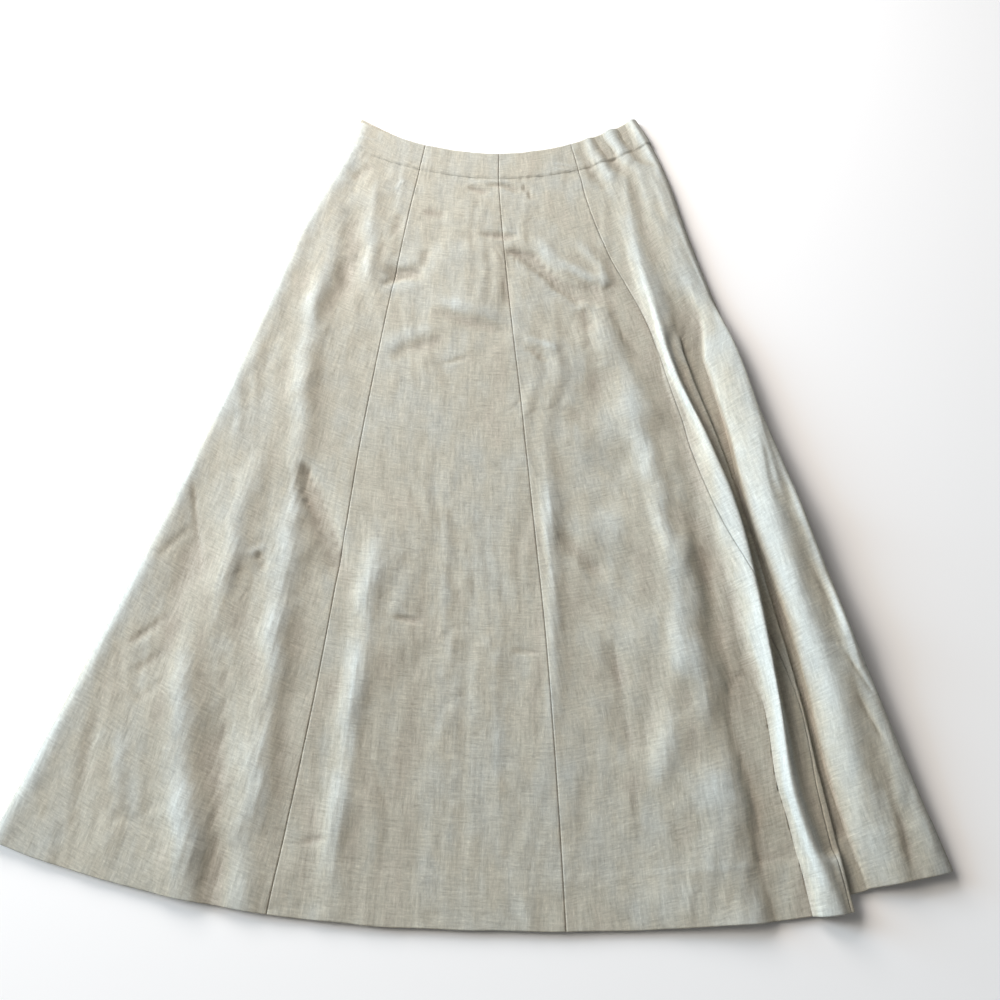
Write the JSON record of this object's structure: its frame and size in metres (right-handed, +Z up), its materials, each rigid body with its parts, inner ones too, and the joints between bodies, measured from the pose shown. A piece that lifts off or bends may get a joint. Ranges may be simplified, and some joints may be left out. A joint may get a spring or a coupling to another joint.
{
  "type": "a-line midi skirt",
  "caption": "Gored a-line linen skirt laid flat, with a casing turned from the gores' own tops, gathers at one side and a deep lengthwise fold.",
  "frame": {"origin": "on the surface that the skirt lies on, under the middle of the whole skirt's box", "axes": "+Y from the hem towards the waist, +X to the right for someone who looks down from the hem side, +Z up from the surface"},
  "size_m": [0.8234, 0.9126, 0.0246],
  "materials": {
    "linen": "undyed pale sage-oatmeal linen, plain weave with slubs, matt"
  },
  "bodies": {
    "root": {"front_left_side_gore": "linen", "front_left_centre_gore": "linen", "front_right_centre_gore": "linen", "front_right_side_gore": "linen", "back_left_side_gore": "linen", "back_left_centre_gore": "linen", "back_right_centre_gore": "linen", "back_right_side_gore": "linen"}
  },
  "joints": []
}
